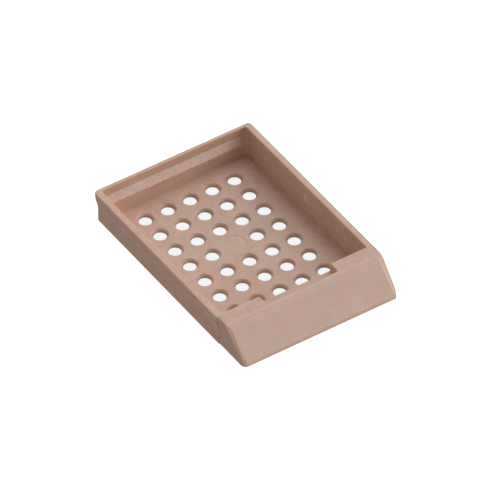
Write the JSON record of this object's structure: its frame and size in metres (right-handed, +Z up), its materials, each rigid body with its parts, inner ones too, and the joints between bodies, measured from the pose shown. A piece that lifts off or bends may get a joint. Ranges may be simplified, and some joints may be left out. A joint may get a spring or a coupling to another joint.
{
  "type": "tissue cassette base",
  "caption": "Open moulded tray with a perforated floor, a lipped rim, a stepped back wall and a wedge nose with a slanted writing panel.",
  "frame": {"origin": "middle of the footprint, on the surface that the tray stands on", "axes": "+Z up, +X across the tray, -Y towards the slanted writing panel"},
  "size_m": [0.0286, 0.0402, 0.0057],
  "materials": {
    "acetal": "satin moulded acetal, flesh pink"
  },
  "bodies": {
    "root": {"cassette_base": "acetal"}
  },
  "joints": []
}
